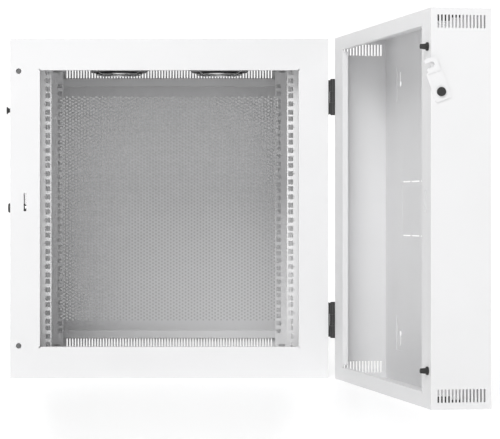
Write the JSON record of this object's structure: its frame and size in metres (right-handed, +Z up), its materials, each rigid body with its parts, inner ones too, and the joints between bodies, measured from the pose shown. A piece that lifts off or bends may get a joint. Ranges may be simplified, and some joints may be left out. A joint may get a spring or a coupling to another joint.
{
  "type": "wall mount network cabinet",
  "caption": "Two-section wall cabinet for 19 inch equipment: a perforated-door main section swings on outside hinges from a shallow wall section, shown open from behind.",
  "frame": {"origin": "centre of the main section's footprint, on its underside", "axes": "+Z up, +Y towards the perforated front door, +X towards the hinges of the wall section"},
  "size_m": [0.8227, 1.1616, 0.6422],
  "materials": {
    "sheet_paint": "fine-textured light grey powder coat",
    "rail_paint": "smooth light grey powder coat",
    "black_metal": "satin black",
    "zinc_steel": "bright zinc plate",
    "lock_steel": "nickel plate",
    "peg_rubber": "matt black",
    "fan_plastic": "fine-textured black",
    "guard_wire": "plated wire",
    "dust_mesh": "fine woven mesh"
  },
  "bodies": {
    "wall_section": {"wall_back_panel": "sheet_paint", "wall_top_panel": "sheet_paint", "wall_bottom_panel": "sheet_paint", "wall_hinge_side": "sheet_paint", "wall_free_side": "sheet_paint", "wall_frame": "sheet_paint", "locating_pegs": "peg_rubber", "wall_corner_plates": "black_metal", "latch_pivot_screw": "black_metal", "hinge_leaf_wall_upper": "black_metal", "hinge_leaf_wall_lower": "black_metal", "hinge_screws_wall": "black_metal"},
    "latch_arm": {"latch_arm": "sheet_paint"},
    "main_section": {"main_roof": "sheet_paint", "main_floor": "sheet_paint", "side_panel_lock": "sheet_paint", "side_panel_hinge": "sheet_paint", "rear_frame": "sheet_paint", "front_frame": "sheet_paint", "roof_entry_plate": "sheet_paint", "floor_entry_plate": "sheet_paint", "door_bracket_upper": "sheet_paint", "door_bracket_lower": "sheet_paint", "rail_rear_left": "rail_paint", "rail_rear_right": "rail_paint", "rail_front_left": "rail_paint", "rail_front_right": "rail_paint", "rail_support_lower_left": "rail_paint", "rail_support_upper_left": "rail_paint", "rail_support_lower_right": "rail_paint", "rail_support_upper_right": "rail_paint", "latch_stud": "black_metal", "side_lock_body": "black_metal", "hinge_leaf_main_upper": "black_metal", "hinge_leaf_main_lower": "black_metal", "hinge_screws_main": "black_metal", "side_lock_nut": "zinc_steel", "rail_bolts": "zinc_steel", "door_pins": "zinc_steel", "hinge_pin_upper": "zinc_steel", "hinge_pin_lower": "zinc_steel", "fan_screws_left": "zinc_steel", "fan_screws_right": "zinc_steel", "fan_frame_left": "fan_plastic", "fan_frame_right": "fan_plastic", "fan_guard_left": "guard_wire", "fan_guard_right": "guard_wire"},
    "side_lock": {"side_lock_plug": "lock_steel"},
    "fan_rotor_left": {"fan_rotor_left": "fan_plastic"},
    "fan_rotor_right": {"fan_rotor_right": "fan_plastic"},
    "front_door": {"door_pan": "sheet_paint", "door_perforated_panel": "sheet_paint", "door_liner": "sheet_paint", "door_dust_screen": "dust_mesh", "door_lock_body": "black_metal", "door_lock_nut": "zinc_steel"},
    "door_lock": {"door_lock_plug": "lock_steel"}
  },
  "joints": [
    {"name": "main_swing", "type": "hinge", "parent": "wall_section", "child": "main_section", "pos_m": [0.3087, -0.2645, 0.32], "axis": [0, 0, 1], "range_deg": [0, 100]},
    {"name": "front_door_swing", "type": "hinge", "parent": "main_section", "child": "front_door", "pos_m": [0.2925, 0.271, 0.32], "axis": [0, 0, -1], "range_deg": [0, 100]},
    {"name": "side_lock_turn", "type": "hinge", "parent": "main_section", "child": "side_lock", "pos_m": [-0.3, -0.243, 0.321], "axis": [1, 0, 0], "range_deg": [0, 90]},
    {"name": "door_lock_turn", "type": "hinge", "parent": "front_door", "child": "door_lock", "pos_m": [-0.248, 0.287, 0.321], "axis": [0, -1, 0], "range_deg": [0, 90]},
    {"name": "latch_arm_swing", "type": "hinge", "parent": "wall_section", "child": "latch_arm", "pos_m": [0.43203, -0.86084, 0.506], "axis": [0.1736, -0.9848, 0], "range_deg": [0, 70]},
    {"name": "fan_left_spin", "type": "hinge", "parent": "main_section", "child": "fan_rotor_left", "pos_m": [-0.101, 0, 0.61], "axis": [0, 0, 1], "continuous": true},
    {"name": "fan_right_spin", "type": "hinge", "parent": "main_section", "child": "fan_rotor_right", "pos_m": [0.101, 0, 0.61], "axis": [0, 0, 1], "continuous": true}
  ]
}
